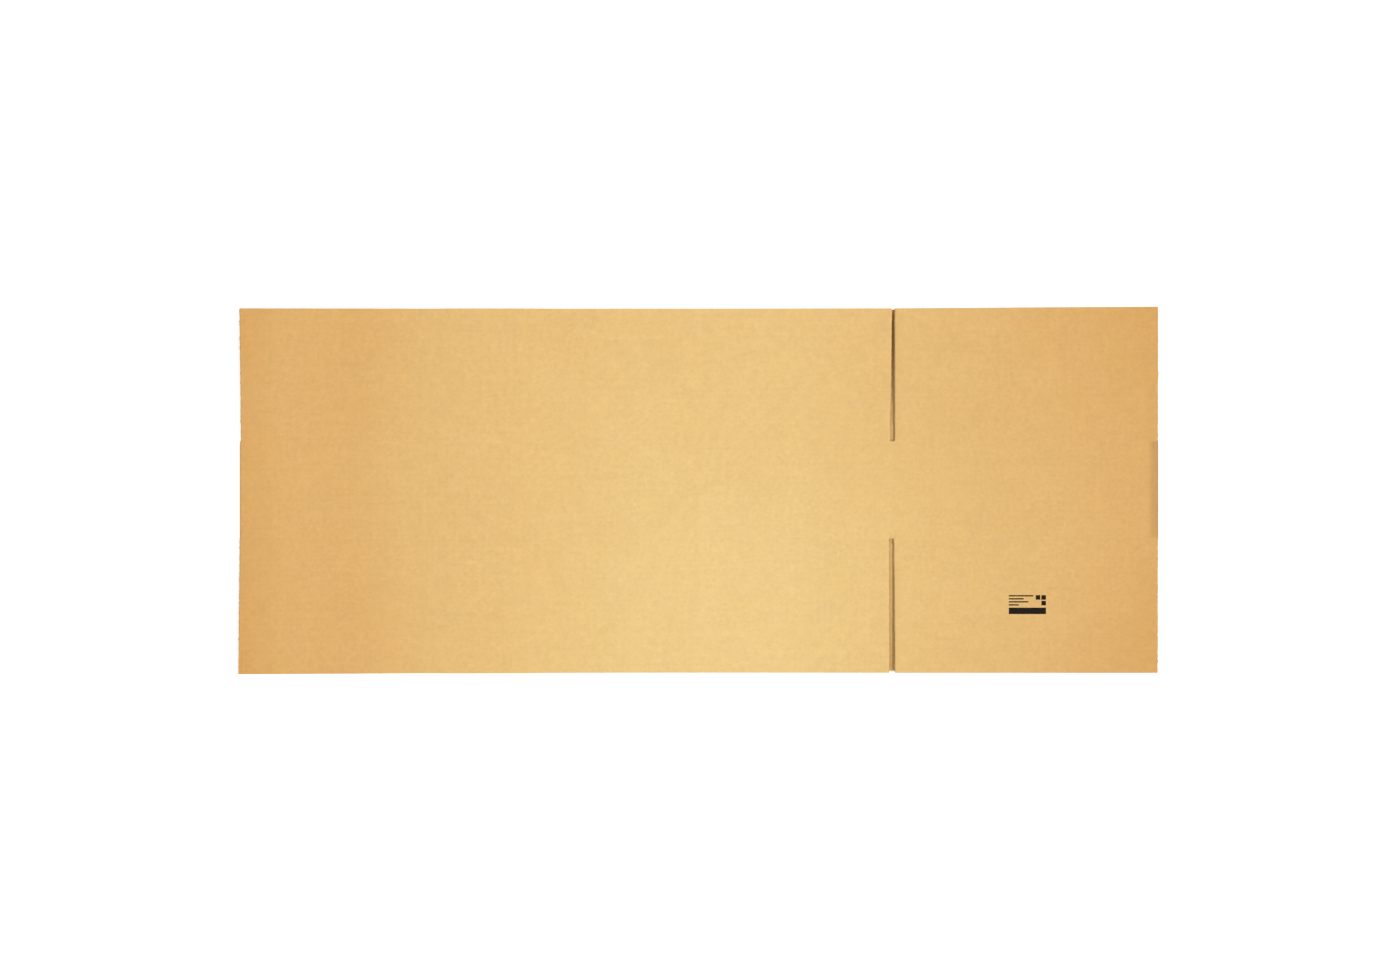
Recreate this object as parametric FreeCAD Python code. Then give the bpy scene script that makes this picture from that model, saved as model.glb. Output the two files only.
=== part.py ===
import FreeCAD, Part
import math
import os

# Flattened cardboard box
# One folded sheet of single-wall board that lies flat, as a slotted box is delivered.
# X runs along its length, Y across it and along the flutes, and Z is up.
# The front panels lie on the back panels. Followed round its section, the sheet is: short back
# panel, left fold, long front panel, short front panel, right fold, long back panel, and a tab
# glued inside the short back panel. Each of the four panels has a flap on its far side (+Y) and
# one on its near side (-Y).

# Board, in millimetres
board_thickness = 4.0
layer_gap = 0.5            # daylight between the two layers away from the tab

# Panels of the blank, from score to score
long_panel = 1001.3
short_panel = 408.8
panel_height = 155.8
far_flap_depth = 202.7
near_flap_depth = 200.1

# Slots between the flaps
slot_width = 7.0
far_slot_overrun = 1.2     # how far a slot's inner end passes the flaps' score
near_slot_overrun = 5.8
far_slot_shift = 0.55      # how far the front slots lie right of the score between the panels
near_slot_shift = -0.55
right_setback = 1.0        # from a fold's nose in to the side edges of the flaps
far_left_setback = 2.2
near_left_setback = 0.3

# Glued joint
tab_width = 40.0
tab_taper = 12.0           # how much shorter the tab is at each end of its free edge
tab_ramp = 100.0           # length over which the board climbs by its own thickness at the tab

# Scores pressed into the outer faces
flap_score_width = 10.0
flap_score_depth = 0.8
panel_score_width = 6.0
panel_score_depth = 0.6

# How the flaps lie: the front ones lift a little, and a few edges run out of square
far_flap_lift = 1.6        # degrees
near_flap_lift = 0.8       # degrees
long_flap_run_out = 2.2    # near left corner of the long front flap, outward along Y
short_flap_run_out = 2.5   # far right corner of the short front flap, outward along Y
far_back_short = 1.5       # how far the back flaps end short of the front ones
near_back_short = 2.8

# How far the outer corners of a flap lie right of where its side edges start
far_long_left_lean = -1.1
far_long_right_lean = 1.6
far_short_left_lean = -0.5
far_short_right_lean = -1.0
near_long_left_lean = -1.5
near_long_right_lean = 0.7
near_short_left_lean = 1.5
near_short_right_lean = -1.0
near_back_left_lean = -0.9

cut_margin = 15.0          # how far the cutting solids reach past what they cut
shortest_run = 0.001       # a shorter straight run is left out of a course

# Places that follow from the sizes
fold_radius = (board_thickness + layer_gap) / 2
nose_depth = fold_radius + board_thickness / 2
left_nose = -(long_panel + short_panel) / 2
right_nose = -left_nose
front_slot_x = left_nose + long_panel
joint_x = left_nose + short_panel
tab_free_x = joint_x - tab_width
back_middle = board_thickness / 2
front_middle = back_middle + board_thickness + layer_gap
front_top = front_middle + board_thickness / 2
far_score = panel_height / 2
near_score = -far_score
section_top = front_top + board_thickness + cut_margin

# A climb by one thickness is two equal arcs that meet at their tangent
ramp_turn = 2 * math.atan(board_thickness / tab_ramp)
ramp_radius = tab_ramp / (2 * math.sin(ramp_turn))


class Course:
    """The middle of the board seen edge-on, followed from a point in a heading."""

    def __init__(self, x, z, heading):
        self.point = FreeCAD.Vector(x, 0, z)
        self.heading = heading
        self.runs = []

    def side(self, heading):
        return FreeCAD.Vector(-math.sin(heading), 0, math.cos(heading))

    def straight_to(self, x):
        start = self.point
        if math.isclose(x, start.x, abs_tol=shortest_run):
            return
        self.point = FreeCAD.Vector(x, 0, start.z)
        self.runs.append((start, self.point, self.heading, self.heading, None))

    def bend(self, radius, turn):
        """An arc of the middle line. A positive turn is to the left, the outer side of the box."""
        reach = math.copysign(radius, turn)
        centre = self.point + self.side(self.heading) * reach
        start = self.point
        first = self.heading
        self.heading = first + turn
        self.point = centre - self.side(self.heading) * reach
        self.runs.append((start, self.point, first, self.heading, (centre, reach)))

    def climb(self, turn):
        self.bend(ramp_radius, turn)
        self.bend(ramp_radius, -turn)

    def line(self, offset):
        """Edges of the line that runs beside the middle, at an offset to the left."""
        edges = []
        for start, end, first, last, arc in self.runs:
            a = start + self.side(first) * offset
            b = end + self.side(last) * offset
            if arc is None:
                edges.append(Part.LineSegment(a, b).toShape())
            else:
                centre, reach = arc
                half = centre - self.side((first + last) / 2) * (reach - offset)
                edges.append(Part.Arc(a, half, b).toShape())
        return edges

    def band(self, low, high):
        """The closed face between two offsets."""
        inner = self.line(low)
        outer = self.line(high)
        first_cap = Part.makeLine(inner[0].valueAt(inner[0].FirstParameter),
                                  outer[0].valueAt(outer[0].FirstParameter))
        last_cap = Part.makeLine(inner[-1].valueAt(inner[-1].LastParameter),
                                 outer[-1].valueAt(outer[-1].LastParameter))
        wire = Part.Wire(Part.__sortEdges__(inner + outer + [first_cap, last_cap]))
        return Part.Face(wire)

    def board(self):
        return self.band(-board_thickness / 2, board_thickness / 2)


def front_course(start_x, end_x):
    """The front layer, which passes over the tab in a low hump when its range takes the tab in."""
    course = Course(start_x, front_middle, 0)
    if start_x < tab_free_x - tab_ramp and end_x > joint_x + tab_ramp:
        course.straight_to(tab_free_x - tab_ramp)
        course.climb(ramp_turn)
        course.straight_to(joint_x)
        course.climb(-ramp_turn)
    course.straight_to(end_x)
    return course


def long_back_course(start_x, end_x):
    """The long back panel, from the right towards the joint, where it climbs to the tab."""
    course = Course(start_x, back_middle, math.pi)
    course.straight_to(joint_x + tab_ramp)
    course.climb(-ramp_turn)
    course.straight_to(end_x)
    return course


def short_back_course(start_x, end_x):
    course = Course(start_x, back_middle, math.pi)
    course.straight_to(end_x)
    return course


def placed(face, y):
    return face.translated(FreeCAD.Vector(0, y, 0))


def sleeve():
    """The four panels between the flap scores, with both folds, but without the tab."""
    course = short_back_course(joint_x - slot_width / 2, left_nose + nose_depth)
    course.bend(fold_radius, -math.pi)
    course.straight_to(tab_free_x - tab_ramp)
    course.climb(ramp_turn)
    course.straight_to(joint_x)
    course.climb(-ramp_turn)
    course.straight_to(right_nose - nose_depth)
    course.bend(fold_radius, -math.pi)
    course.straight_to(joint_x + tab_ramp)
    course.climb(-ramp_turn)
    return placed(course.board(), near_score).extrude(FreeCAD.Vector(0, panel_height, 0))


def plan(corners):
    """A tall prism over an outline drawn from above."""
    points = [FreeCAD.Vector(x, y, -cut_margin) for x, y in corners]
    face = Part.Face(Part.makePolygon(points + points[:1]))
    return face.extrude(FreeCAD.Vector(0, 0, section_top + 2 * cut_margin))


def tab():
    """The tab on the long back panel, on the inner face of the short back panel."""
    course = Course(joint_x, back_middle + board_thickness, math.pi)
    course.straight_to(tab_free_x)
    strip = placed(course.board(), near_score).extrude(FreeCAD.Vector(0, panel_height, 0))
    near_end = near_score + near_slot_overrun
    far_end = far_score - far_slot_overrun
    return strip.common(plan([
        (joint_x, near_end),
        (tab_free_x, near_end + tab_taper),
        (tab_free_x, far_end - tab_taper),
        (joint_x, far_end),
    ]))


def flap_depth(side):
    return far_flap_depth if side > 0 else near_flap_depth


def flap(face, side, lift, corners):
    """A flap on one side of the scores: the section carried outward and cut to its outline."""
    reach = flap_depth(side) + cut_margin
    rise = reach * math.tan(math.radians(lift))
    score = far_score if side > 0 else near_score
    strip = placed(face, score).extrude(FreeCAD.Vector(0, side * reach, rise))
    return strip.common(plan(corners))


def flap_outline(side, left, right, left_lean=0.0, right_lean=0.0,
                 left_run_out=0.0, right_run_out=0.0, short=0.0):
    """The four corners of a flap: a lean moves an outer corner along X, a run-out along Y."""
    score = side * panel_height / 2
    edge = score + side * (flap_depth(side) - short)
    return [
        (left, score),
        (right, score),
        (right + right_lean, edge + side * right_run_out),
        (left + left_lean, edge + side * left_run_out),
    ]


def front_slot(shift):
    """The two sides of a slot between the front flaps."""
    middle = front_slot_x + shift
    return middle - slot_width / 2, middle + slot_width / 2


def flaps():
    far_left = left_nose + far_left_setback
    near_left = left_nose + near_left_setback
    right = right_nose - right_setback
    far_slot_left, far_slot_right = front_slot(far_slot_shift)
    near_slot_left, near_slot_right = front_slot(near_slot_shift)
    joint_left = joint_x - slot_width / 2
    joint_right = joint_x + slot_width / 2
    beyond_left = left_nose - cut_margin
    beyond_right = right_nose + cut_margin
    long_front = front_course(beyond_left, front_slot_x + cut_margin).board()
    short_front = front_course(front_slot_x - cut_margin, beyond_right).board()
    short_back = short_back_course(joint_left + cut_margin, beyond_left).board()
    long_back = long_back_course(beyond_right, joint_x - cut_margin).board()
    return [
        flap(long_front, 1, far_flap_lift,
             flap_outline(1, far_left, far_slot_left,
                          left_lean=far_long_left_lean, right_lean=far_long_right_lean)),
        flap(long_front, -1, near_flap_lift,
             flap_outline(-1, near_left, near_slot_left, left_run_out=long_flap_run_out,
                          left_lean=near_long_left_lean, right_lean=near_long_right_lean)),
        flap(short_front, 1, far_flap_lift,
             flap_outline(1, far_slot_right, right, right_run_out=short_flap_run_out,
                          left_lean=far_short_left_lean, right_lean=far_short_right_lean)),
        flap(short_front, -1, near_flap_lift,
             flap_outline(-1, near_slot_right, right,
                          left_lean=near_short_left_lean, right_lean=near_short_right_lean)),
        flap(short_back, 1, 0, flap_outline(1, far_left, joint_left, short=far_back_short)),
        flap(short_back, -1, 0,
             flap_outline(-1, near_left, joint_left, left_lean=near_back_left_lean,
                          short=near_back_short)),
        flap(long_back, 1, 0, flap_outline(1, joint_right, right, short=far_back_short)),
        flap(long_back, -1, 0, flap_outline(-1, joint_right, right, short=near_back_short)),
    ]


def box_between(low, high):
    size = [high[k] - low[k] for k in range(3)]
    return Part.makeBox(*size, FreeCAD.Vector(*low))


def slot_ends():
    """What the slots take out of the sleeve past the flap scores."""
    between_layers = board_thickness + layer_gap / 2
    near_span = (near_score - cut_margin, near_score + near_slot_overrun)
    far_span = (far_score - far_slot_overrun, far_score + cut_margin)
    boxes = []
    for (y0, y1), left_setback, shift in (
        (near_span, near_left_setback, near_slot_shift),
        (far_span, far_left_setback, far_slot_shift),
    ):
        slot_left, slot_right = front_slot(shift)
        zones = [
            (left_nose - cut_margin, left_nose + left_setback, -cut_margin, section_top),
            (right_nose - right_setback, right_nose + cut_margin, -cut_margin, section_top),
            (slot_left, slot_right, between_layers, section_top),
            (joint_x - slot_width / 2, joint_x + slot_width / 2, -cut_margin, 2 * board_thickness),
        ]
        boxes += [box_between((x0, y0, z0), (x1, y1, z1)) for x0, x1, z0, z1 in zones]
    return boxes


def flap_scores():
    """Shallow vee grooves in the outer faces, along the flap scores of every panel."""
    low = board_thickness / 2 - flap_score_depth
    high = board_thickness / 2 + 3 * flap_score_depth
    reach = flap_score_width
    rise = 2 * flap_score_depth
    left = left_nose - cut_margin
    right = right_nose + cut_margin
    layers = [
        (front_course(left, right), 1, {1: far_flap_lift, -1: near_flap_lift}),
        (long_back_course(right, joint_x), -1, {1: 0, -1: 0}),
        (short_back_course(joint_x, left), -1, {1: 0, -1: 0}),
    ]
    grooves = []
    for course, up, lifts in layers:
        section = course.band(low, high)
        for side, score in ((1, far_score), (-1, near_score)):
            start = placed(section, score)
            flap_rise = reach * math.tan(math.radians(lifts[side]))
            grooves.append(start.extrude(FreeCAD.Vector(0, side * reach, up * rise + flap_rise)))
            grooves.append(start.extrude(FreeCAD.Vector(0, -side * reach, up * rise)))
    return grooves


def panel_score():
    """The vee groove between the two front panels, from slot to slot."""
    half = panel_score_width / 2
    bottom = FreeCAD.Vector(front_slot_x, near_score, front_top - panel_score_depth)
    left = FreeCAD.Vector(front_slot_x - 2 * half, near_score, front_top + panel_score_depth)
    right = FreeCAD.Vector(front_slot_x + 2 * half, near_score, front_top + panel_score_depth)
    face = Part.Face(Part.makePolygon([bottom, right, left, bottom]))
    return face.extrude(FreeCAD.Vector(0, panel_height, 0))


def flattened_box():
    sheet = sleeve().cut(slot_ends())
    sheet = sheet.fuse([tab()] + flaps())
    sheet = sheet.cut(flap_scores() + [panel_score()])
    sheet = sheet.removeSplitter()
    room = sheet.BoundBox
    sheet.translate(FreeCAD.Vector(-room.Center.x, -room.Center.y, -room.ZMin))
    return sheet


os.makedirs("parts", exist_ok=True)
folded_board = flattened_box()
folded_board.exportStep("parts/folded_board.step")

extent = folded_board.BoundBox
print("solids", len(folded_board.Solids), "valid", folded_board.isValid())
print("size %.1f x %.1f x %.2f mm" % (extent.XLength, extent.YLength, extent.ZLength))
print("volume %.0f cubic mm" % folded_board.Volume)
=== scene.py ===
import math

import bmesh
import bpy
from bpy.props import FloatProperty, FloatVectorProperty, IntProperty, PointerProperty
from bpy.types import Operator, Panel, PropertyGroup
from mathutils import Matrix, Vector, noise


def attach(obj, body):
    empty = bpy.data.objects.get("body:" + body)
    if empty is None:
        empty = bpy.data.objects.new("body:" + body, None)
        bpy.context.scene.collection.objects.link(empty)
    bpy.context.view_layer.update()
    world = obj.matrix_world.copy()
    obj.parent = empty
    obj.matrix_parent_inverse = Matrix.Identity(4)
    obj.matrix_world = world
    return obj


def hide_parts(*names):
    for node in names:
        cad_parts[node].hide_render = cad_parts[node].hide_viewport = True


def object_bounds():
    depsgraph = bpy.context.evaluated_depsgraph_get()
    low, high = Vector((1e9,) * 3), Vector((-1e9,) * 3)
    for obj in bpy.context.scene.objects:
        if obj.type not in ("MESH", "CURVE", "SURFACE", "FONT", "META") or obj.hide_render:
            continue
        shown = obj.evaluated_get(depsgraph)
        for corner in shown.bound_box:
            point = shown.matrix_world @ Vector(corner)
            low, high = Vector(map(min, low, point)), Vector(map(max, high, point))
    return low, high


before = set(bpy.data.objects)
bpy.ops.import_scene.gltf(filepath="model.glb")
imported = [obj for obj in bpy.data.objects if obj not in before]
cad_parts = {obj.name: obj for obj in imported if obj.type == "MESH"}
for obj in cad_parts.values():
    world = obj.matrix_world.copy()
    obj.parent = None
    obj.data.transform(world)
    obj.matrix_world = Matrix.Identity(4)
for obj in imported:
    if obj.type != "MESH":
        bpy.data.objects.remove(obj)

# A slotted cardboard box folded flat, as it is delivered before use.
# The blank is cut, slotted and scored flat, as a sheet of two liners with flutes between them,
# and is then folded round its section: short back panel, left fold, long front panel, short front
# panel, right fold, long back panel, and the tab that is glued inside the short back panel.

bl_info = {
    "name": "Flattened cardboard box",
    "version": (1, 0, 0),
    "blender": (4, 5, 0),
    "location": "3D View > Sidebar > Cardboard box",
    "description": "A slotted corrugated box folded flat, with liners, flutes, slots, scores and a glued tab",
    "category": "Add Mesh",
}

CAD_LOW, CAD_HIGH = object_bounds()
MM = 0.001
DIFFERENCE = 1e-6

# How the sheet is divided into faces.
COLUMN_WIDTH = 12.0 * MM
ROW_HEIGHT = 14.0 * MM
RIM_CUTS = 6
SHORT_RIM = 2.0 * MM
FOLD_STEPS = 16
SCORE_ROWS = (-1.0, -0.62, -0.3, 0.0, 0.3, 0.62, 1.0)
RIDGE_COLUMNS = (-1.0, -0.7, -0.35, 0.0, 0.35, 0.7, 1.0)
SLOT_COLUMNS = (0.0, 0.2, 0.5, 1.0)
PANEL_SCORE_COLUMNS = (-0.4, 0.0, 0.4)
CREASE_COLUMNS = (0.25, 0.5, 0.75, 1.0)
DARK_STRIP_COLUMNS = (0.0, 0.3, 0.6)
EDGE_ROWS = (0.3, 0.7)
SHARP_ANGLE = math.radians(38.0)

# The small wandering of the cuts: turns a metre, a seed and a share of the whole.
KNIFE_WANDER = ((330.0, 9.0, 0.5), (170.0, 3.0, 0.6), (22.0, 7.0, 0.25))
KNIFE_TURNS_ALONG = 30.0
TRIM_WANDER = ((90.0, 5.0, 0.6), (6.0, 2.0, 1.2))
TRIM_TURNS_ACROSS = 9.0
LIFT_TURNS = 2.3
LIFT_SEED = 4.0

# The length over which a flap leaves its fold at the inner end of a slot.
FOLD_END = 1.0 * MM

# Where the crease near the corner starts and how soon it is full, as shares of the flap.
CREASE_START = 0.72
CREASE_GROWTH = 0.14

# The outer paper painted darker at the right fold, in a strip beside it and as painted shade on its nose:
# how much each darkens and how far each takes to be full, as shares of the strip's width and of the nose.
STRIP_DARKENING = 0.16
NOSE_SHADE = 0.16
STRIP_SHOULDER = 0.6
NOSE_SHOULDER = 0.7

# In the folds the flutes keep this share of their height.
CRUSHED_FLUTES = 0.4

# The printed block, in shares of its height: the bar, the squares, the rules and their distances,
# and the rules' lengths in shares of its width.
BAR_SHARE = 0.34
SQUARE_SHARE = 0.24
SQUARE_DISTANCE = 1.25
RULE_SHARE = 0.07
RULE_DISTANCE = 0.16
RULE_LENGTHS = (0.66, 0.40, 0.53, 0.27)
INK_COLUMN = 6.0 * MM

# The paper's clouds of light and dark: turns a metre, detail and swing.
PAPER_CLOUDS = ((22.0, 2.0, 0.009), (60.0, 2.0, 0.020), (130.0, 2.0, 0.034))
# The marks of the paper machine: turns a metre on each axis and swing.
PAPER_STREAKS = (((230.0, 6.0, 40.0), 0.011), ((6.0, 230.0, 40.0), 0.016))
MOTTLE = (210.0, 4.0, 0.62)
MOTTLE_SWING = 0.042
FIBRES = (420.0, 1900.0, 900.0)
FIBRE_SHADE = 0.90
# Painted shade: how much darker the inner liner and the flutes are painted towards the ends of the box, as on
# the outer liner.
PAINTED_SHADE_AT_ENDS = {"inner": 0.88, "medium": 0.85}

FLOOR_SIZE = 12.0
FLOOR_DROP = 0.4 * MM
LAMP_DISTANCE = 3.0
SENSOR_WIDTH = 36.0
SIGHT = 50.0
WHITE = (1.0, 1.0, 1.0, 1.0)

# Shifts of the flaps' side edges to the right in millimetres: of the left edge at the score and
# at the flap's outer corner, and of the right edge at the same places. The key is the number of
# the panel along the blank and the flap's side of it, 1 for far and -1 for near.
FLAP_SHIFTS = {
    (0, 1): (1.1, 1.1, 0.0, 0.0),
    (0, -1): (-0.8, -1.7, 0.0, 0.0),
    (1, 1): (1.1, 0.0, 0.1, 2.9),
    (1, -1): (-0.8, -2.3, -1.3, -1.2),
    (2, 1): (0.3, -0.2, 0.0, -1.0),
    (2, -1): (-0.95, 0.45, 0.0, -1.0),
    (3, 1): (0.0, 0.0, 0.0, 0.0),
    (3, -1): (0.0, 0.0, 0.0, 0.0),
}


def length(name, description, millimetres):
    """A length property whose default is written in millimetres."""
    return FloatProperty(
        name=name,
        description=description,
        default=millimetres * MM,
        min=0.0,
        unit="LENGTH",
        subtype="DISTANCE",
        precision=5,
    )


def colour(name, description, default):
    return FloatVectorProperty(
        name=name,
        description=description,
        default=default,
        min=0.0,
        max=1.0,
        size=3,
        subtype="COLOR",
    )


class BlankSizes(PropertyGroup):
    """The cut and scored sheet"""

    long_panel: length("Long panel", "Length of a long panel between its scores", 1001.3)
    short_panel: length("Short panel", "Length of a short panel between its scores", 408.8)
    panel_height: length("Panel height", "Height between the flap scores", 155.8)
    far_flap_depth: length("Far flap depth", "Depth of the far flaps beyond their score", 202.7)
    near_flap_depth: length("Near flap depth", "Depth of the near flaps beyond their score", 200.1)
    slot_width: length("Slot width", "Width of the slots between the flaps", 7.0)
    far_overrun: length("Far overrun", "How far the far slots pass the flap score", 1.2)
    near_overrun: length("Near overrun", "How far the near slots pass the flap score", 5.8)
    slot_round: length("Slot end rounding", "How far the corners of a slot's inner end are rounded", 1.5)
    tab_width: length("Tab width", "Width of the glue tab", 40.0)
    tab_taper: length("Tab taper", "How much shorter the tab is at its free edge", 12.0)
    tab_ramp: length("Tab ramp", "Length of the climb on to the tab", 100.0)


class BoardSizes(PropertyGroup):
    """The corrugated board"""

    thickness: length("Thickness", "Thickness of the board", 4.0)
    liner: length("Liner", "Thickness of each liner", 0.3)
    medium: length("Medium", "Thickness of the fluted paper", 0.2)
    pitch: length("Flute pitch", "Distance from flute to flute", 7.7)
    layer_gap: length("Layer gap", "Daylight between the two layers", 0.5)
    flute_steps: IntProperty(
        name="Flute steps", description="Faces along one flute", default=8, min=4, max=16
    )
    score_depth: length("Flap score depth", "Depth of the scores along the flaps", 0.7)
    score_width: length("Flap score width", "Width of the scores along the flaps", 11.0)
    panel_score_depth: length("Panel score depth", "Depth of the score between the front panels", 0.35)
    panel_score_width: length("Panel score width", "Width of the score between the front panels", 14.0)
    inner_score_depth: length("Inner score depth", "Depth of the scores on the inner face", 0.9)
    slot_crush: length("Slot crush", "How far the knife presses the board down along a slot", 1.3)
    slot_crush_width: length("Slot crush width", "Width of the pressed strip along a slot", 2.2)
    edge_crush: length("Edge crush", "How far the outer edges of the flaps are pressed", 0.2)
    edge_crush_width: length("Edge crush width", "Width of the pressed strip along the flap edges", 3.0)
    fold_dent: length("Fold dent", "Depth of the score line in the middle of a fold", 0.1)
    crease_depth: length("Crease depth", "Depth of the crease at the front flap's near left corner", 0.9)
    crease_width: length("Crease width", "Width of the slope beside that crease", 3.0)
    slot_ragged: length("Slot raggedness", "How far the slot edges wander", 1.3)
    edge_ragged: length("Edge raggedness", "How far the outer edges wander", 0.15)
    dark_strip_width: length("Dark strip width", "Width of the darker strip along the right fold", 12.5)
    ridge: length("Ridge", "Distance of the faint ridge from the left fold", 91.0)
    ridge_height: length("Ridge height", "Height of the faint ridge", 0.12)
    ridge_width: length("Ridge width", "Width of the faint ridge", 16.0)


class LieOfFlaps(PropertyGroup):
    """How the flaps lie"""

    far_lift: FloatProperty(
        name="Far lift", description="Lift of the far front flaps", default=math.radians(1.6),
        unit="ROTATION", subtype="ANGLE",
    )
    near_lift: FloatProperty(
        name="Near lift", description="Lift of the near front flaps", default=math.radians(0.8),
        unit="ROTATION", subtype="ANGLE",
    )
    long_run_out: length("Long run-out", "Outward shift of the near left corner of the front flap", 2.2)
    short_run_out: length("Short run-out", "Outward shift of the far right corner of the front flap", 2.5)
    far_back_short: length("Far back short", "How far the far back flaps end short", 1.5)
    near_back_short: length("Near back short", "How far the near back flaps end short", 2.8)
    long_bow: length("Long bow", "How far the middle of a long flap's outer edge bows inward", 0.5)
    lift_wander: FloatProperty(
        name="Lift wander", description="How much the lift changes along a flap, as a share",
        default=0.12, min=0.0, max=1.0, subtype="FACTOR",
    )


class PaperColours(PropertyGroup):
    """Colours of the papers and the ink"""

    # The pale colour is the paper in a painted pool of light at the middle of the box; the next colour is the
    # same paper in painted shade towards the ends.
    pale: colour("Pale kraft", "Outer liner in the middle of the box", (0.863, 0.604, 0.252))
    shaded_ends: colour("Kraft in painted shade", "Outer liner towards the ends of the box", (0.718, 0.400, 0.132))
    inner: colour("Inner liner", "Face of the board inside the box", (0.76, 0.49, 0.185))
    medium: colour("Medium", "Fluted paper", (0.66, 0.41, 0.17))
    ink: colour("Ink", "Printed block", (0.012, 0.008, 0.005))


class PrintSizes(PropertyGroup):
    """The printed block on the near flap of the short front panel"""

    from_right: length("From the right", "Distance of the block's middle from the right fold", 201.5)
    from_score: length("From the score", "Distance of the block's middle below the flap score", 95.5)
    width: length("Width", "Width of the block", 57.0)
    height: length("Height", "Height of the block", 29.0)
    film: length("Ink film", "How far the ink stands on the paper", 0.04)


class StudioLight(PropertyGroup):
    """Lamps, backdrop and camera"""

    key: FloatProperty(name="Key", description="Strength of the key light from the right",
                       default=1.50, min=0.0)
    fill: FloatProperty(name="Fill", description="Strength of the fill light from the left",
                        default=0.37, min=0.0)
    key_height: FloatProperty(name="Key height", description="Height of the key light above the floor",
                              default=math.radians(57.0), unit="ROTATION", subtype="ANGLE")
    key_side: FloatProperty(name="Key side", description="Turn of the key light from the right",
                            default=math.radians(4.0), unit="ROTATION", subtype="ANGLE")
    key_spread: FloatProperty(name="Key spread", description="Softness of the key light",
                              default=math.radians(14.0), unit="ROTATION", subtype="ANGLE")
    sky: FloatProperty(name="Sky", description="Strength of the even light from all round",
                       default=0.50, min=0.0)
    floor: colour("Floor", "Colour of the floor", (0.90, 0.90, 0.90))
    floor_glow: FloatProperty(name="Floor glow", description="White that the camera sees on the floor",
                              default=0.50, min=0.0)
    camera_height: length("Camera height", "Height of the camera above the floor", 2990.0)
    camera_right: length("Camera right", "Camera's place right of the box's middle", 2.0)
    camera_far: length("Camera far", "Camera's place beyond the box's middle", 16.15)
    lens: FloatProperty(name="Lens", description="Focal length in millimetres", default=50.0,
                        subtype="DISTANCE_CAMERA")


SETTINGS = {
    "box_blank": BlankSizes,
    "box_board": BoardSizes,
    "box_lie": LieOfFlaps,
    "box_colours": PaperColours,
    "box_print": PrintSizes,
    "box_studio": StudioLight,
}


def bell(distance, half_width):
    """1 in the middle, falling smoothly to 0 at the half width."""
    share = distance / half_width
    return (1.0 - share * share) ** 2 if abs(share) < 1.0 else 0.0


def lip(distance, width):
    """1 at an edge, falling steeply from it to 0 at the width."""
    return (1.0 - distance / width) ** 2 if distance < width else 0.0


def smooth(share):
    share = min(max(share, 0.0), 1.0)
    return share * share * (3.0 - 2.0 * share)


class Course:
    """The outer face of the board seen edge-on, followed from a point in a heading."""

    def __init__(self, x, z, heading):
        self.point = Vector((x, z))
        self.heading = heading
        self.length = 0.0
        self.runs = []

    @staticmethod
    def along(heading):
        return Vector((math.cos(heading), math.sin(heading)))

    @staticmethod
    def outward(heading):
        return Vector((-math.sin(heading), math.cos(heading)))

    def add(self, run_length, turn, centre, reach):
        self.runs.append((self.length, run_length, self.point.copy(), self.heading, turn, centre, reach))
        self.length += run_length

    def straight_to(self, x):
        run_length = abs(x - self.point.x)
        self.add(run_length, 0.0, None, 0.0)
        self.point = self.point + self.along(self.heading) * run_length
        return self.length

    def bend(self, radius, turn):
        """An arc; a positive turn is towards the outer side of the box."""
        reach = math.copysign(radius, turn)
        centre = self.point + self.outward(self.heading) * reach
        self.add(radius * abs(turn), turn, centre, reach)
        self.heading += turn
        self.point = centre - self.outward(self.heading) * reach
        return self.length

    def climb(self, rise, run):
        """Two equal arcs that lift the course by its rise over its run."""
        turn = 2.0 * math.atan(rise / run)
        radius = abs(run / (2.0 * math.sin(turn)))
        self.bend(radius, turn)
        return self.bend(radius, -turn)

    def at(self, along, offset):
        """The point at a distance along the course, off to the outer side, and its heading."""
        for start, run_length, point, heading, turn, centre, reach in self.runs:
            if along <= start + run_length:
                break
        travelled = along - start
        if centre is None:
            place = point + self.along(heading) * travelled + self.outward(heading) * offset
            return place, heading
        here = heading + turn * travelled / run_length
        return centre - self.outward(here) * (reach - offset), here


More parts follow.
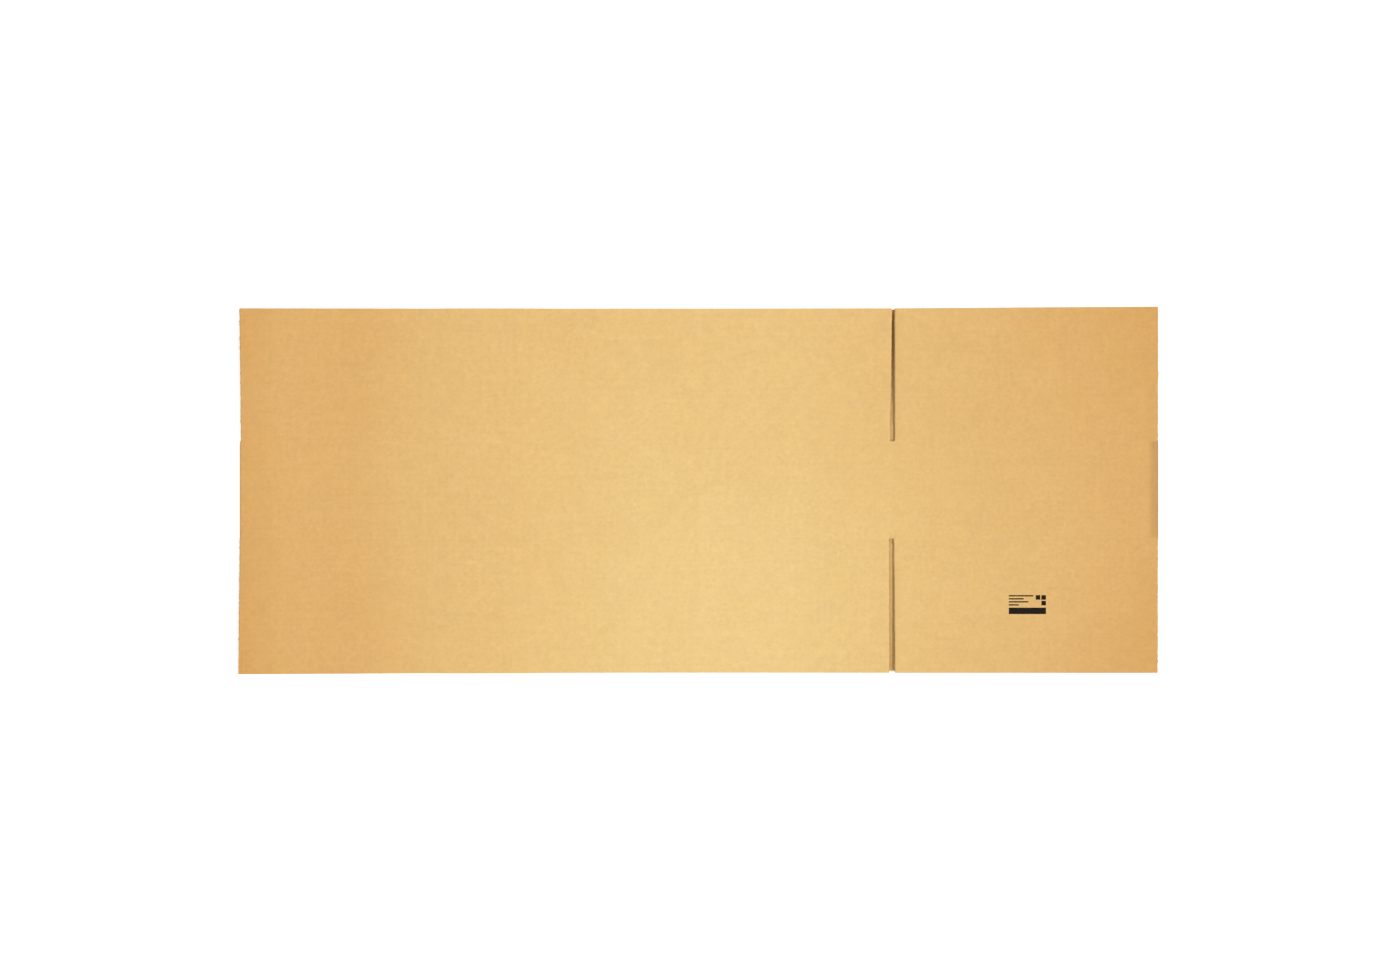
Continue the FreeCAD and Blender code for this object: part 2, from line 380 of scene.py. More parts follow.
class FlatBox:
    """Places on the blank, and where the folds take them."""

    def __init__(self, scene):
        self.blank = scene.box_blank
        self.board = scene.box_board
        self.lie = scene.box_lie
        blank, board, lie = self.blank, self.board, self.lie
        self.nose = board.thickness + board.layer_gap / 2
        self.right_nose = CAD_HIGH.x
        self.left_nose = self.right_nose - blank.long_panel - blank.short_panel
        self.far_score = CAD_HIGH.y - lie.short_run_out - blank.far_flap_depth
        self.near_score = self.far_score - blank.panel_height
        self.far_slot = self.far_score - blank.far_overrun
        self.near_slot = self.near_score + blank.near_overrun
        self.far_edge = self.far_score + blank.far_flap_depth
        self.near_edge = self.near_score - blank.near_flap_depth
        self.front_slot_x = self.left_nose + blank.long_panel
        self.joint_x = self.left_nose + blank.short_panel
        self.half_slot = blank.slot_width / 2
        self.follow_section()

    def follow_section(self):
        blank, board = self.blank, self.board
        rise = board.thickness
        tab_free_x = self.joint_x - blank.tab_width
        course = Course(self.joint_x - self.half_slot, 0.0, math.pi)
        left_start = course.straight_to(self.left_nose + self.nose)
        left_end = course.bend(self.nose, -math.pi)
        course.straight_to(tab_free_x - blank.tab_ramp)
        course.climb(rise, blank.tab_ramp)
        course.straight_to(self.joint_x)
        course.climb(-rise, blank.tab_ramp)
        self.front_score = course.straight_to(self.front_slot_x)
        right_start = course.straight_to(self.right_nose - self.nose)
        right_end = course.bend(self.nose, -math.pi)
        course.straight_to(self.joint_x + blank.tab_ramp)
        self.tab_score = course.climb(-rise, blank.tab_ramp)
        course.straight_to(tab_free_x)
        self.course = course
        self.left_fold = (left_start, left_end)
        self.right_fold = (right_start, right_end)
        self.left_score = (left_start + left_end) / 2
        self.right_score = (right_start + right_end) / 2
        self.slot_scores = (self.left_score, self.front_score, self.right_score)
        self.panels = (
            (0.0, left_start, False),
            (left_end, self.front_score, True),
            (self.front_score, right_start, True),
            (right_end, self.tab_score, False),
        )

    def panel_at(self, along):
        return sum(along > score for score in self.slot_scores)

    def beyond(self, across):
        """How far a point lies beyond its flap score, and on which side."""
        if across > self.far_score:
            return across - self.far_score, 1
        if across < self.near_score:
            return self.near_score - across, -1
        return 0.0, 0

    def past_slot(self, across):
        """How far a point lies beyond the slots' inner ends."""
        return max(across - self.far_slot, self.near_slot - across, 0.0)

    def fold(self, along, across, offset):
        """Takes a point of the flat blank to its place in the folded box."""
        body, _ = self.course.at(along, offset)
        place = body
        past = self.past_slot(across)
        number = self.panel_at(along)
        first, last, front = self.panels[number]
        held = min(max(along, first), last)
        if past > 0.0 and held != along:
            flat, heading = self.course.at(held, offset)
            flat = flat + Course.along(heading) * (along - held)
            place = body.lerp(flat, smooth(past / FOLD_END))
        x, z, y = place.x, place.y, across
        out, side = self.beyond(across)
        if past > 0.0:
            lean = self.side_shift(number, 1 if across > 0.0 else -1, out, x)
            x += lean * smooth(past / FOLD_END)
        if side:
            y, z = self.lay_flap(number, front, side, out, x, y, z)
        return Vector((x, y, z))

    def share_out(self, out, side):
        """How far a point lies from its flap's score to the flap's outer edge."""
        return out / (self.blank.far_flap_depth if side > 0 else self.blank.near_flap_depth)

    def share_across(self, number, x):
        """How far a point lies from the left edge of its panel to the right edge."""
        ends = (
            (self.left_nose, self.joint_x),
            (self.left_nose, self.front_slot_x),
            (self.front_slot_x, self.right_nose),
            (self.joint_x, self.right_nose),
        )
        left, right = ends[number]
        return (x - left) / (right - left)

    def side_shift(self, number, side, out, x):
        """The lean of a flap's side edges, spread over the flap."""
        left_inner, left_outer, right_inner, right_outer = FLAP_SHIFTS[number, side]
        share_out = self.share_out(out, side)
        left = left_inner + share_out * (left_outer - left_inner)
        right = right_inner + share_out * (right_outer - right_inner)
        share = self.share_across(number, x)
        return (left + share * (right - left)) * MM

    def lay_flap(self, number, front, side, out, x, y, z):
        """The lift of a front flap, and where its outer edge runs out of square."""
        lie = self.lie
        share_out = self.share_out(out, side)
        share = self.share_across(number, x)
        if front:
            lift = lie.far_lift if side > 0 else lie.near_lift
            swell = 0.5 + 0.5 * noise.noise(Vector((x * LIFT_TURNS, side * LIFT_SEED, 0.0)))
            z += out * math.tan(lift) * (1.0 - lie.lift_wander * swell)
        else:
            short = lie.far_back_short if side > 0 else lie.near_back_short
            y -= side * short * share_out
        if number == 1:
            y -= side * share_out * lie.long_bow * 4.0 * share * (1.0 - share)
        if (number, side) == (1, -1):
            y -= share_out * lie.long_run_out * (1.0 - share) ** 2
        if (number, side) == (2, 1):
            y += share_out * lie.short_run_out * share
        return y, z

    def slot_distance(self, along, across):
        """Distance from the nearest slot's side, for a point beside a slot."""
        if self.past_slot(across) <= 0.0:
            return math.inf
        middles = self.slot_scores + (self.tab_score,)
        return min(abs(abs(along - middle) - self.half_slot) for middle in middles)

    def pressed(self, along, across):
        """How far the outer face is pressed in."""
        board = self.board
        half = board.score_width / 2
        depth = board.score_depth * max(
            bell(across - self.far_score, half), bell(across - self.near_score, half)
        )
        if self.past_slot(across) <= 0.0:
            depth = max(
                depth,
                board.panel_score_depth * bell(along - self.front_score, board.panel_score_width / 2),
                board.fold_dent * bell(along - self.left_score, self.nose / 2),
                board.fold_dent * bell(along - self.right_score, self.nose / 2),
            )
        depth = max(
            depth,
            board.slot_crush * lip(self.slot_distance(along, across), board.slot_crush_width),
        )
        from_edge = min(self.far_edge - across, across - self.near_edge)
        depth = max(depth, board.edge_crush * bell(from_edge, board.edge_crush_width))
        depth = max(depth, self.creased(along, across))
        from_ridge = along - self.left_fold[1] - board.ridge
        return depth - board.ridge_height * bell(from_ridge, board.ridge_width / 2)

    def creased(self, along, across):
        """How far the near left corner's edge is bent down, on the front flap."""
        out, side = self.beyond(across)
        if side >= 0 or self.panel_at(along) != 1:
            return 0.0
        towards_corner = smooth((self.share_out(out, side) - CREASE_START) / CREASE_GROWTH)
        beside = smooth((along - self.left_fold[1]) / self.board.crease_width)
        return self.board.crease_depth * towards_corner * (1.0 - beside)

    def pressed_inside(self, along, across):
        board = self.board
        half = board.score_width / 3
        return board.inner_score_depth * max(
            bell(across - self.far_score, half), bell(across - self.near_score, half)
        )

    def tone(self, along, across):
        """How bright the outer paper is: darker along a strip beside the right fold, and painted shade on its
        nose.
        """
        if self.past_slot(across) > 0.0:
            return 1.0
        start, end = self.right_fold
        # A darker strip on the outer paper beside the fold.
        shoulder = STRIP_SHOULDER * self.board.dark_strip_width
        strip = min(smooth((along - start + self.board.dark_strip_width) / shoulder),
                    smooth((end - along) / shoulder))
        # Painted shade on the fold's rounded nose.
        reach = NOSE_SHOULDER * self.nose
        nose = min(smooth((along - start) / reach), smooth((end - along) / reach))
        return 1.0 - STRIP_DARKENING * strip - NOSE_SHADE * nose

    def in_fold(self, along):
        return any(start < along < end for start, end in (self.left_fold, self.right_fold))

    def wander(self, along, across):
        """The cutting tools' small wandering, as a shift on the blank."""
        along_shift = 0.0
        across_shift = 0.0
        if self.slot_distance(along, across) < DIFFERENCE:
            for turns, seed, share in KNIFE_WANDER:
                place = Vector((along * KNIFE_TURNS_ALONG, across * turns, seed))
                along_shift += self.board.slot_ragged * share * noise.noise(place)
        if min(self.far_edge - across, across - self.near_edge) < DIFFERENCE:
            for turns, seed, share in TRIM_WANDER:
                place = Vector((along * turns, across * TRIM_TURNS_ACROSS, seed))
                across_shift += self.board.edge_ragged * share * noise.noise(place)
        return along_shift, across_shift

    def across_lines(self):
        """Rows that the scores, slot ends and pressed edges need."""
        board = self.board
        half = board.score_width / 2
        lines = [self.far_slot, self.near_slot]
        for score in (self.far_score, self.near_score):
            lines += [score + half * share for share in SCORE_ROWS]
        for edge, inward in ((self.far_edge, -1), (self.near_edge, 1)):
            lines += [edge + inward * board.edge_crush_width * share for share in EDGE_ROWS]
        return lines

    def along_lines(self):
        """Columns that the slots, folds and pressed lines need."""
        board = self.board
        slot_edge = self.tab_score - self.half_slot
        lines = [self.tab_score, slot_edge, slot_edge - board.slot_crush_width / 2]
        for middle in self.slot_scores:
            for side in (-1, 1):
                edge = middle + side * self.half_slot
                lines += [edge + side * board.slot_crush_width * share for share in SLOT_COLUMNS]
        for start, end in (self.left_fold, self.right_fold):
            lines += [start + (end - start) * step / FOLD_STEPS for step in range(FOLD_STEPS + 1)]
        half = board.panel_score_width / 2
        lines += [self.front_score + half * share for share in PANEL_SCORE_COLUMNS]
        lines += [self.left_fold[1] + board.crease_width * share for share in CREASE_COLUMNS]
        ridge = self.left_fold[1] + board.ridge
        half = board.ridge_width / 2
        lines += [ridge + half * share for share in RIDGE_COLUMNS]
        strip = self.right_fold[0] - board.dark_strip_width
        lines += [strip + board.dark_strip_width * share for share in DARK_STRIP_COLUMNS]
        return lines


def cut_line(bm, place, normal):
    geometry = bm.verts[:] + bm.edges[:] + bm.faces[:]
    bmesh.ops.bisect_plane(bm, geom=geometry, dist=DIFFERENCE, plane_co=place, plane_no=normal)


def cut_blank(box, columns, rows, along_lines, across_lines):
    """A flat sheet with the outline, slots and tab of the blank, in its own plane."""
    bm = bmesh.new()
    size = Vector((box.course.length, box.far_edge - box.near_edge))
    middle = Vector((size.x / 2, (box.far_edge + box.near_edge) / 2, 0.0))
    place = Matrix.Translation(middle) @ Matrix.Diagonal((size.x / 2, size.y / 2, 1.0, 1.0))
    bmesh.ops.create_grid(bm, x_segments=columns, y_segments=rows, size=1.0, matrix=place)
    for across in across_lines:
        cut_line(bm, (0.0, across, 0.0), (0.0, 1.0, 0.0))
    for along in along_lines:
        cut_line(bm, (along, 0.0, 0.0), (1.0, 0.0, 0.0))
    taper = box.blank.tab_taper
    slant = Vector((box.course.length - box.tab_score, taper, 0.0))
    for corner, lean in ((box.far_slot, -1), (box.near_slot, 1)):
        tab_faces = [f for f in bm.faces if f.calc_center_median().x > box.tab_score]
        edges = {e for f in tab_faces for e in f.edges}
        verts = {v for f in tab_faces for v in f.verts}
        bmesh.ops.bisect_plane(
            bm,
            geom=list(verts) + list(edges) + tab_faces,
            dist=DIFFERENCE,
            plane_co=(box.tab_score, corner, 0.0),
            plane_no=(-slant.y * lean, slant.x, 0.0),
        )
    waste = [f for f in bm.faces if is_waste(box, f.calc_center_median())]
    bmesh.ops.delete(bm, geom=waste, context="FACES")
    return bm


def is_waste(box, middle):
    if box.past_slot(middle.y) > 0.0:
        if any(abs(middle.x - score) < box.half_slot for score in box.slot_scores):
            return True
        if middle.x > box.tab_score - box.half_slot:
            return True
    if middle.x > box.tab_score:
        share = (middle.x - box.tab_score) / (box.course.length - box.tab_score)
        inset = share * box.blank.tab_taper
        return middle.y > box.far_slot - inset or middle.y < box.near_slot + inset
    return False


def thicken(bm, thickness):
    """Gives the flat sheet a closed thickness below its face."""
    kept = bm.faces[:]
    grown = bmesh.ops.extrude_face_region(bm, geom=kept, use_keep_orig=True)
    moved = [v for v in grown["geom"] if isinstance(v, bmesh.types.BMVert)]
    bmesh.ops.translate(bm, verts=moved, vec=(0.0, 0.0, -thickness))


def round_slot_ends(box, bm):
    """Rounds the corners of the slots' inner ends."""
    for vert in bm.verts:
        along, across = vert.co.x, vert.co.y
        for middle in box.slot_scores:
            share = (along - middle) / box.half_slot
            if abs(share) > 1.0 + DIFFERENCE:
                continue
            pull = box.blank.slot_round * share ** 4
            if abs(across - box.far_slot) < DIFFERENCE:
                vert.co.y += pull
            if abs(across - box.near_slot) < DIFFERENCE:
                vert.co.y -= pull


def finish_piece(bm, name, material):
    """Turns the folded mesh into a piece of the box, smooth apart from its cut edges."""
    bmesh.ops.remove_doubles(bm, verts=bm.verts[:], dist=DIFFERENCE)
    bmesh.ops.recalc_face_normals(bm, faces=bm.faces[:])
    for face in bm.faces:
        face.smooth = True
    for edge in bm.edges:
        edge.smooth = len(edge.link_faces) == 2 and edge.calc_face_angle(0.0) < SHARP_ANGLE
    mesh = bpy.data.meshes.new(name)
    bm.to_mesh(mesh)
    bm.free()
    piece = bpy.data.objects.new(name, mesh)
    bpy.context.scene.collection.objects.link(piece)
    mesh.materials.append(material)
    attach(piece, "root")
    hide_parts("folded_board")
    return piece


def liner_blank(box):
    """The flat sheet for a liner, with a finely divided rim."""
    columns = round(box.course.length / COLUMN_WIDTH)
    rows = round((box.far_edge - box.near_edge) / ROW_HEIGHT)
    bm = cut_blank(box, columns, rows, box.along_lines(), box.across_lines())
    rim = [e for e in bm.edges if e.is_boundary and e.calc_length() > SHORT_RIM]
    bmesh.ops.bisect_edges(bm, edges=rim, cuts=RIM_CUTS)
    return bm


def make_liner(box, outer):
    """One liner of the board, cut and pressed flat and then folded."""
    board = box.board
    bm = liner_blank(box)
    thicken(bm, board.liner)
    pressed = box.pressed if outer else box.pressed_inside
    tones = bm.verts.layers.float.new("tone")
    for vert in bm.verts:
        along, across, below = vert.co
        along_shift, across_shift = box.wander(along, across)
        press = pressed(along, across)
        # The tone carries the darker strip beside the right fold and the painted shade on its nose.
        vert[tones] = box.tone(along, across) if outer else 1.0
        if outer:
            offset = below - press
        else:
            offset = below + board.liner - board.thickness + press
        vert.co = (along + along_shift, across + across_shift, offset)
    round_slot_ends(box, bm)
    for vert in bm.verts:
        vert.co = box.fold(*vert.co)
    return bm


def make_flutes(box):
    """The fluted paper between the liners, crushed at the scores and in the folds."""
    board = box.board
    columns = round(box.course.length / board.pitch) * board.flute_steps
    lines = [box.far_slot, box.near_slot]
    half = board.score_width / 2
    for score in (box.far_score, box.near_score):
        lines += [score - half, score, score + half]
    edges = [box.tab_score, box.tab_score - box.half_slot]
    for middle in box.slot_scores:
        edges += [middle - box.half_slot, middle + box.half_slot]
    bm = cut_blank(box, columns, 1, edges, lines)
    thicken(bm, board.medium)
    tones = bm.verts.layers.float.new("tone")
    for vert in bm.verts:
        vert[tones] = 1.0
        along, across, below = vert.co
        top = -board.liner - box.pressed(along, across)
        bottom = -board.thickness + board.liner + box.pressed_inside(along, across)
        middle = (top + bottom) / 2
        swing = (top - bottom - board.medium) / 2
        if box.in_fold(along):
            swing *= CRUSHED_FLUTES
        wave = math.sin(2.0 * math.pi * along / board.pitch)
        vert.co.z = middle + swing * wave + board.medium / 2 + below
    round_slot_ends(box, bm)
    for vert in bm.verts:
        vert.co = box.fold(*vert.co)
    return bm


class Paint:
    """A material's nodes, added one by one."""

    def __init__(self, name, rough, specular):
        self.material = bpy.data.materials.new(name)
        self.material.use_nodes = True
        self.tree = self.material.node_tree
        self.shader = self.tree.nodes["Principled BSDF"]
        self.shader.inputs["Roughness"].default_value = rough
        self.shader.inputs["Specular IOR Level"].default_value = specular
        self.place = self.node("ShaderNodeTexCoord").outputs["Object"]

    def node(self, kind, **settings):
        made = self.tree.nodes.new(kind)
        for name, value in settings.items():
            setattr(made, name, value)
        return made

    def feed(self, socket, value):
        if isinstance(value, bpy.types.NodeSocket):
            self.tree.links.new(value, socket)
        else:
            socket.default_value = value

    def math(self, operation, first, second=0.0, clamp=False):
        made = self.node("ShaderNodeMath", operation=operation, use_clamp=clamp)
        self.feed(made.inputs[0], first)
        self.feed(made.inputs[1], second)
        return made.outputs[0]

    def stretched(self, scale):
        made = self.node("ShaderNodeMapping")
        self.feed(made.inputs["Vector"], self.place)
        made.inputs["Scale"].default_value = scale
        return made.outputs["Vector"]

    def cloud(self, scale, detail=3.0, rough=0.55, vector=None):
        made = self.node("ShaderNodeTexNoise")
        self.feed(made.inputs["Vector"], vector or self.place)
        made.inputs["Scale"].default_value = scale
        made.inputs["Detail"].default_value = detail
        made.inputs["Roughness"].default_value = rough
        return made.outputs["Fac"]

    def spread(self, value, low, high, first, last):
        made = self.node("ShaderNodeMapRange", clamp=True)
        self.feed(made.inputs["Value"], value)
        for name, number in zip(("From Min", "From Max", "To Min", "To Max"), (low, high, first, last)):
            made.inputs[name].default_value = number
        return made.outputs["Result"]

    def swing(self, value, amount):
        """A factor that swings about 1 with a cloud's value."""
        return self.spread(value, 0.25, 0.75, 1.0 - amount, 1.0 + amount)

    def blend(self, share, first, second):
        made = self.node("ShaderNodeMix", data_type="RGBA", clamp_factor=False)
        self.feed(made.inputs["Factor"], share)
        self.feed(made.inputs["A"], first)
        self.feed(made.inputs["B"], second)
        return made.outputs["Result"]

    def product(self, first, second):
        made = self.node("ShaderNodeVectorMath", operation="MULTIPLY")
        self.feed(made.inputs[0], first)
        self.feed(made.inputs[1], second)
        return made.outputs[0]

    def scaled(self, tint, factor):
        made = self.node("ShaderNodeVectorMath", operation="SCALE")
        self.feed(made.inputs[0], tint)
        self.feed(made.inputs["Scale"], factor)
        return made.outputs[0]

    def bump(self, height, distance, strength=1.0):
        made = self.node("ShaderNodeBump")
        made.inputs["Strength"].default_value = strength
        made.inputs["Distance"].default_value = distance
        self.feed(made.inputs["Height"], height)
        self.feed(self.shader.inputs["Normal"], made.outputs["Normal"])


def rgba(tint):
    return (*tint, 1.0)


def paper(name, pale, shaded_ends, pitch, contrast):
    """Kraft paper: clouds, machine streaks, mottling, fibres and a faint washboard, on a painted pool of
    light in the middle of the box that falls to painted shade towards the ends and the corners.
    """
    paint = Paint(name, 0.88, 0.22)
    split = paint.node("ShaderNodeSeparateXYZ")
    paint.feed(split.inputs[0], paint.place)
    from_middle = paint.math("ABSOLUTE", paint.math("SUBTRACT", split.outputs["X"], 0.03))
    # Painted light: the share of the pale colour is highest in the middle of the box and falls towards its
    # ends and its far side, which are painted in shade.
    lit_middle = paint.math(
        "MULTIPLY",
        paint.spread(from_middle, 0.115, 0.725, 1.0, 0.0),
        paint.spread(split.outputs["Y"], -0.12, 0.255, 0.96, 0.72),
    )
    drift = paint.spread(paint.cloud(2.6, 2.0), 0.3, 0.7, -0.06, 0.06)
    patches = paint.spread(paint.cloud(70.0, 1.0), 0.3, 0.7, -0.03 * contrast, 0.03 * contrast)
    left_end = paint.math(
        "MULTIPLY",
        paint.spread(split.outputs["X"], -0.70, -0.64, 0.0, 0.13),
        paint.spread(split.outputs["X"], -0.62, -0.53, 1.0, 0.0),
    )
    left_middle = paint.math(
        "MULTIPLY",
        paint.spread(split.outputs["X"], -0.51, -0.41, 0.0, 0.09),
        paint.spread(split.outputs["X"], -0.38, -0.22, 1.0, 0.0),
    )
    aside = paint.math("MULTIPLY", split.outputs["X"], split.outputs["Y"])
    # Painted shade that darkens the four corners.
    corners = paint.math("MULTIPLY", paint.math("MULTIPLY", aside, aside), -2.6)
    share = lit_middle
    for more in (drift, patches, left_end, left_middle, corners):
        share = paint.math("ADD", share, more)
    tint = paint.blend(share, rgba(shaded_ends), rgba(pale))
    warmth = paint.spread(paint.cloud(20.0, 2.0), 0.3, 0.7, 0.0, 1.0)
    casts = paint.blend(warmth, (1.005, 1.0, 0.976, 1.0), (0.995, 1.0, 1.024, 1.0))
    tint = paint.product(tint, casts)

    mottle = paint.cloud(*MOTTLE)
    fibres = paint.cloud(1.0, 2.0, 0.5, paint.stretched(FIBRES))
    # The vertex tone: a darker strip beside the right fold and painted shade on its nose.
    tone = paint.node("ShaderNodeAttribute", attribute_name="tone").outputs["Fac"]
    tones = [paint.swing(paint.cloud(turns, detail), swing * contrast)
             for turns, detail, swing in PAPER_CLOUDS]
    tones += [paint.swing(paint.cloud(1.0, 3.0, 0.6, paint.stretched(turns)), swing * contrast)
              for turns, swing in PAPER_STREAKS]
    tones.append(paint.swing(mottle, MOTTLE_SWING * contrast))
    tones.append(paint.spread(fibres, 0.66, 0.74, 1.0, FIBRE_SHADE))
    for more in tones:
        tone = paint.math("MULTIPLY", tone, more)
    paint.feed(paint.shader.inputs["Base Color"], paint.scaled(tint, tone))

    turns = paint.math("MULTIPLY", split.outputs["X"], 2.0 * math.pi / pitch)
    washboard = paint.math("MULTIPLY", paint.math("SINE", turns), 0.08)
    grain = paint.math("ADD", paint.math("MULTIPLY", mottle, 0.5), paint.math("MULTIPLY", fibres, 0.35))
    paint.bump(paint.math("ADD", washboard, grain), 0.00006)
    return paint.material


def ink(tint):
    """Printing ink that the paper's grain shows through."""
    paint = Paint("printing_ink", 0.75, 0.10)
    grain = paint.cloud(900.0, 4.0, 0.6)
    worn = paint.spread(grain, 0.60, 0.78, 0.0, 0.30)
    faded = (0.20, 0.13, 0.07, 1.0)
    paint.feed(paint.shader.inputs["Base Color"], paint.blend(worn, rgba(tint), faded))
    paint.bump(grain, 0.00003)
    return paint.material


class BOX_OT_outer_liner(Operator):
    """Make the outer liner, which shows on the front, the back and round both folds"""

    bl_idname = "flat_box.outer_liner"
    bl_label = "Outer liner"

    def execute(self, context):
        colours = context.scene.box_colours
        box = FlatBox(context.scene)
        material = paper("outer_kraft", colours.pale, colours.shaded_ends, box.board.pitch, 1.0)
        finish_piece(make_liner(box, True), "outer_liner", material)
        return {"FINISHED"}


class BOX_OT_inner_liner(Operator):
    """Make the inner liner, which shows through the slots and between the layers"""

    bl_idname = "flat_box.inner_liner"
    bl_label = "Inner liner"

    def execute(self, context):
        colours = context.scene.box_colours
        box = FlatBox(context.scene)
        darker = [PAINTED_SHADE_AT_ENDS["inner"] * part for part in colours.inner]
        material = paper("inner_kraft", colours.inner, darker, box.board.pitch, 1.3)
        finish_piece(make_liner(box, False), "inner_liner", material)
        return {"FINISHED"}


class BOX_OT_flutes(Operator):
    """Make the fluted paper between the liners, which shows at every cut edge"""

    bl_idname = "flat_box.flutes"
    bl_label = "Flutes"

    def execute(self, context):
        colours = context.scene.box_colours
        box = FlatBox(context.scene)
        darker = [PAINTED_SHADE_AT_ENDS["medium"] * part for part in colours.medium]
        material = paper("fluted_paper", colours.medium, darker, box.board.pitch, 1.6)
        finish_piece(make_flutes(box), "flutes", material)
        return {"FINISHED"}


def ink_patch(bm, film, left, right, low, high):
    """A printed rectangle, placed on the blank."""
    place = Matrix.Translation(((left + right) / 2, (low + high) / 2, 0.0))
    size = Matrix.Diagonal(((right - left) / 2, (high - low) / 2, 1.0, 1.0))
    columns = max(1, round((right - left) / INK_COLUMN))
    grid = bmesh.ops.create_grid(bm, x_segments=columns, y_segments=1, size=1.0, matrix=place @ size)
    faces = list({f for v in grid["verts"] for f in v.link_faces})
    grown = bmesh.ops.extrude_face_region(bm, geom=faces, use_keep_orig=True)
    moved = [v for v in grown["geom"] if isinstance(v, bmesh.types.BMVert)]
    bmesh.ops.translate(bm, verts=moved, vec=(0.0, 0.0, film))


class BOX_OT_printed_block(Operator):
    """Print a plain block of bars on the near flap of the short front panel"""

    bl_idname = "flat_box.printed_block"
    bl_label = "Printed block"

    def execute(self, context):
        scene = context.scene
        sizes = scene.box_print
        box = FlatBox(scene)
        right = box.right_fold[0] + box.nose - sizes.from_right + sizes.width / 2
        left = right - sizes.width
        low = box.near_score - sizes.from_score - sizes.height / 2
        high = low + sizes.height
        square = SQUARE_SHARE * sizes.height
        bm = bmesh.new()
        ink_patch(bm, sizes.film, left, right, low, low + BAR_SHARE * sizes.height)
        for number, share in enumerate(RULE_LENGTHS):
            top = high - number * RULE_DISTANCE * sizes.height
            foot = top - RULE_SHARE * sizes.height
            ink_patch(bm, sizes.film, left, left + share * sizes.width, foot, top)
        for column, row in ((0, 0), (0, 1), (1, 0)):
            edge = right - column * SQUARE_DISTANCE * square
            top = high - row * SQUARE_DISTANCE * square
            ink_patch(bm, sizes.film, edge - square, edge, top - square, top)
        for vert in bm.verts:
            vert.co = box.fold(*vert.co)
        finish_piece(bm, "printed_block", ink(scene.box_colours.ink))
        return {"FINISHED"}


def hang_lamp(scene, name, strength, height, turn, spread):
    """A far soft lamp at a height above the floor, turned about the box from the right."""
    data = bpy.data.lights.new(name, "SUN")
    data.energy = strength
    data.angle = spread
    lamp = bpy.data.objects.new(name, data)
    level = math.cos(height)
    towards = Vector((level * math.cos(turn), level * math.sin(turn), math.sin(height)))
    lamp.location = towards * LAMP_DISTANCE
    lamp.rotation_mode = "QUATERNION"
    lamp.rotation_quaternion = (-towards).to_track_quat("-Z", "Y")
    scene.collection.objects.link(lamp)


def seen_by_eye(tree):
    """1 for what the camera sees, straight, in a reflection or through glass."""
    path = tree.nodes.new("ShaderNodeLightPath")
    first = tree.nodes.new("ShaderNodeMath")
    second = tree.nodes.new("ShaderNodeMath")
    first.operation = second.operation = "MAXIMUM"
    tree.links.new(path.outputs["Is Camera Ray"], first.inputs[0])
    tree.links.new(path.outputs["Is Glossy Ray"], first.inputs[1])
    tree.links.new(first.outputs[0], second.inputs[0])
    tree.links.new(path.outputs["Is Transmission Ray"], second.inputs[1])
    return second.outputs[0]


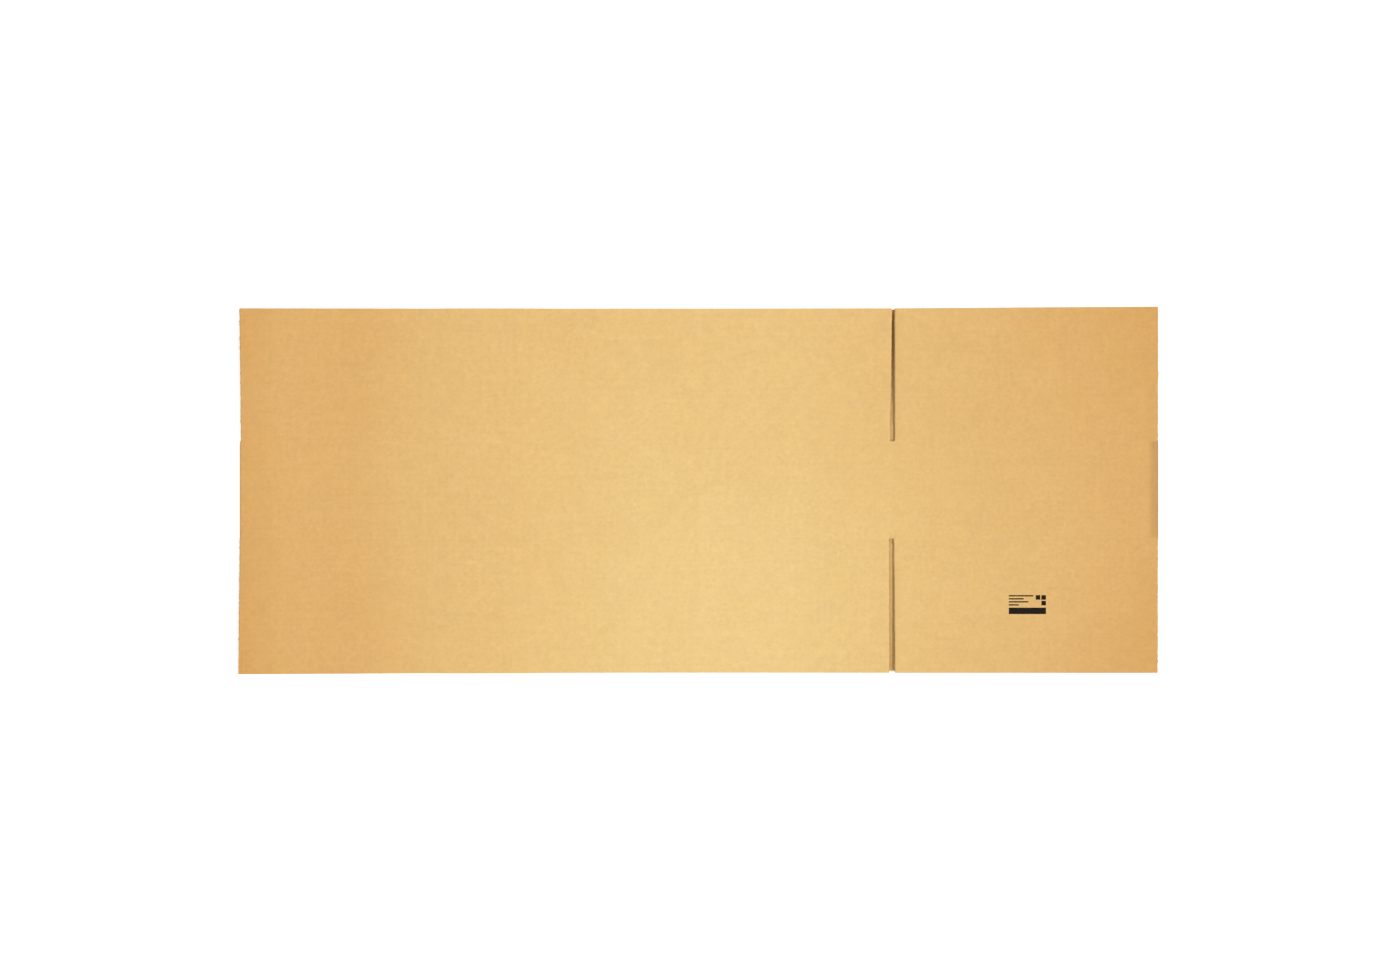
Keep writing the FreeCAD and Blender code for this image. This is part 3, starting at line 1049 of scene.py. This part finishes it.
class BOX_OT_studio(Operator):
    """Set up the floor, the lamps, the sky and the camera above the box"""

    bl_idname = "flat_box.studio"
    bl_label = "Studio"

    def execute(self, context):
        scene = context.scene
        studio = scene.box_studio
        self.lay_floor(studio)
        self.light_sky(scene, studio)
        height, turn, spread = studio.key_height, studio.key_side, studio.key_spread
        hang_lamp(scene, "key_light", studio.key, height, turn, spread)
        hang_lamp(scene, "fill_light", studio.fill, height, math.pi - turn, spread)
        data = bpy.data.cameras.new("camera")
        data.lens = studio.lens
        data.sensor_width = SENSOR_WIDTH
        data.clip_end = SIGHT
        camera = bpy.data.objects.new("camera", data)
        camera.location = (studio.camera_right, studio.camera_far, studio.camera_height)
        scene.collection.objects.link(camera)
        scene.camera = camera
        scene.view_settings.view_transform = "Standard"
        return {"FINISHED"}

    def lay_floor(self, studio):
        bm = bmesh.new()
        bmesh.ops.create_grid(bm, x_segments=1, y_segments=1, size=FLOOR_SIZE,
                              matrix=Matrix.Translation((0.0, 0.0, -FLOOR_DROP)))
        mesh = bpy.data.meshes.new("floor")
        bm.to_mesh(mesh)
        bm.free()
        floor = bpy.data.objects.new("floor", mesh)
        bpy.context.scene.collection.objects.link(floor)
        material = bpy.data.materials.new("floor")
        material.use_nodes = True
        tree = material.node_tree
        shader = tree.nodes["Principled BSDF"]
        shader.inputs["Base Color"].default_value = rgba(studio.floor)
        shader.inputs["Roughness"].default_value = 0.9
        shader.inputs["Specular IOR Level"].default_value = 0.1
        glow = tree.nodes.new("ShaderNodeMath")
        glow.operation = "MULTIPLY"
        tree.links.new(seen_by_eye(tree), glow.inputs[0])
        glow.inputs[1].default_value = studio.floor_glow
        shader.inputs["Emission Color"].default_value = WHITE
        tree.links.new(glow.outputs[0], shader.inputs["Emission Strength"])
        mesh.materials.append(material)

    def light_sky(self, scene, studio):
        world = bpy.data.worlds.new("sky")
        world.use_nodes = True
        tree = world.node_tree
        even = tree.nodes["Background"]
        even.inputs["Color"].default_value = WHITE
        even.inputs["Strength"].default_value = studio.sky
        white = tree.nodes.new("ShaderNodeBackground")
        white.inputs["Color"].default_value = WHITE
        white.inputs["Strength"].default_value = 1.0
        mix = tree.nodes.new("ShaderNodeMixShader")
        tree.links.new(seen_by_eye(tree), mix.inputs[0])
        tree.links.new(even.outputs[0], mix.inputs[1])
        tree.links.new(white.outputs[0], mix.inputs[2])
        tree.links.new(mix.outputs[0], tree.nodes["World Output"].inputs["Surface"])
        scene.world = world


STEPS = (
    BOX_OT_outer_liner,
    BOX_OT_inner_liner,
    BOX_OT_flutes,
    BOX_OT_printed_block,
    BOX_OT_studio,
)


class BOX_PT_sidebar(Panel):
    """The box's sizes and colours, and the steps that make it"""

    bl_label = "Flattened cardboard box"
    bl_idname = "BOX_PT_sidebar"
    bl_space_type = "VIEW_3D"
    bl_region_type = "UI"
    bl_category = "Cardboard box"

    def draw(self, context):
        layout = self.layout
        for step in STEPS:
            layout.operator(step.bl_idname)
        for name, group in SETTINGS.items():
            settings = getattr(context.scene, name)
            column = layout.column(align=True)
            column.label(text=group.__doc__)
            for key in group.__annotations__:
                column.prop(settings, key)


CLASSES = (*SETTINGS.values(), *STEPS, BOX_PT_sidebar)


def register():
    for made in CLASSES:
        bpy.utils.register_class(made)
    for name, group in SETTINGS.items():
        setattr(bpy.types.Scene, name, PointerProperty(type=group))


def unregister():
    for name in SETTINGS:
        delattr(bpy.types.Scene, name)
    for made in reversed(CLASSES):
        bpy.utils.unregister_class(made)


def main():
    register()
    bpy.ops.flat_box.outer_liner()
    bpy.ops.flat_box.inner_liner()
    bpy.ops.flat_box.flutes()
    bpy.ops.flat_box.printed_block()
    bpy.ops.flat_box.studio()


if __name__ == "__main__":
    main()
